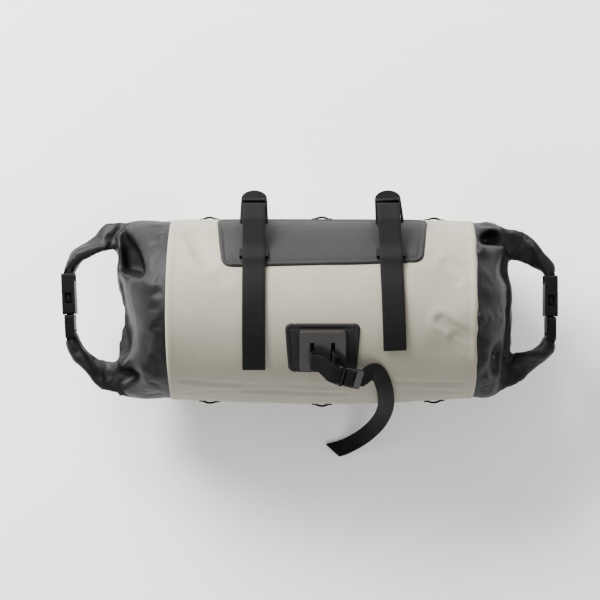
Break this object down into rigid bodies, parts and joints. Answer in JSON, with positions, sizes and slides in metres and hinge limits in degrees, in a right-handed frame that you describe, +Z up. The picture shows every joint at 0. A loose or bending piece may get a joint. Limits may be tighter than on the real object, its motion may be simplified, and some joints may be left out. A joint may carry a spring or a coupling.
{
  "type": "bicycle handlebar bag",
  "caption": "Hollow cylindrical roll bag in coated cloth with a charcoal cap, rolled mouth and buckled loop at each end, webbing handlebar straps, lash loops and a plate with a free strap.",
  "frame": {"origin": "bottom centre of the whole bag's bounding box, on the surface that the bag lies on", "axes": "X along the bag, buckle to buckle; +Y across it towards the handlebar loops; +Z up, out of the mounting side"},
  "size_m": [0.4573, 0.2487, 0.1707],
  "materials": {
    "grey_cloth": "warm light grey coated nylon, fine plain weave, soft sheen",
    "charcoal_cloth": "charcoal coated nylon, satin",
    "panel_cloth": "dark grey welded laminate, matte",
    "dark_patch": "dark grey welded laminate, matte",
    "webbing": "black woven nylon webbing, ribbed",
    "plate_plastic": "dark grey-brown moulded plastic, satin",
    "buckle_plastic": "black moulded acetal, semi-gloss"
  },
  "bodies": {
    "root": {"body_tube": "grey_cloth", "handlebar_panel": "panel_cloth", "anchor_patch": "dark_patch", "end_cap_left": "charcoal_cloth", "end_cap_right": "charcoal_cloth", "roll_left": "charcoal_cloth", "roll_right": "charcoal_cloth", "roll_arm_left_upper": "charcoal_cloth", "roll_arm_left_lower": "charcoal_cloth", "roll_arm_right_upper": "charcoal_cloth", "roll_arm_right_lower": "charcoal_cloth", "clip_web_left_upper": "webbing", "clip_web_left_lower": "webbing", "clip_web_right_upper": "webbing", "clip_web_right_lower": "webbing", "clip_socket_left": "buckle_plastic", "clip_socket_right": "buckle_plastic", "clip_plug_left": "buckle_plastic", "clip_plug_right": "buckle_plastic", "handlebar_strap_left": "webbing", "handlebar_strap_right": "webbing", "anchor_web_left": "webbing", "anchor_web_right": "webbing", "ladder_lock_left": "buckle_plastic", "ladder_lock_right": "buckle_plastic", "keeper_left": "buckle_plastic", "keeper_right": "buckle_plastic", "anchor_plate": "plate_plastic", "head_lock": "buckle_plastic", "head_strap": "webbing", "lash_loop_top_1": "webbing", "lash_loop_top_2": "webbing", "lash_loop_top_3": "webbing", "lash_loop_bottom_1": "webbing", "lash_loop_bottom_2": "webbing", "lash_loop_bottom_3": "webbing", "roll_stud": "buckle_plastic"}
  },
  "joints": []
}
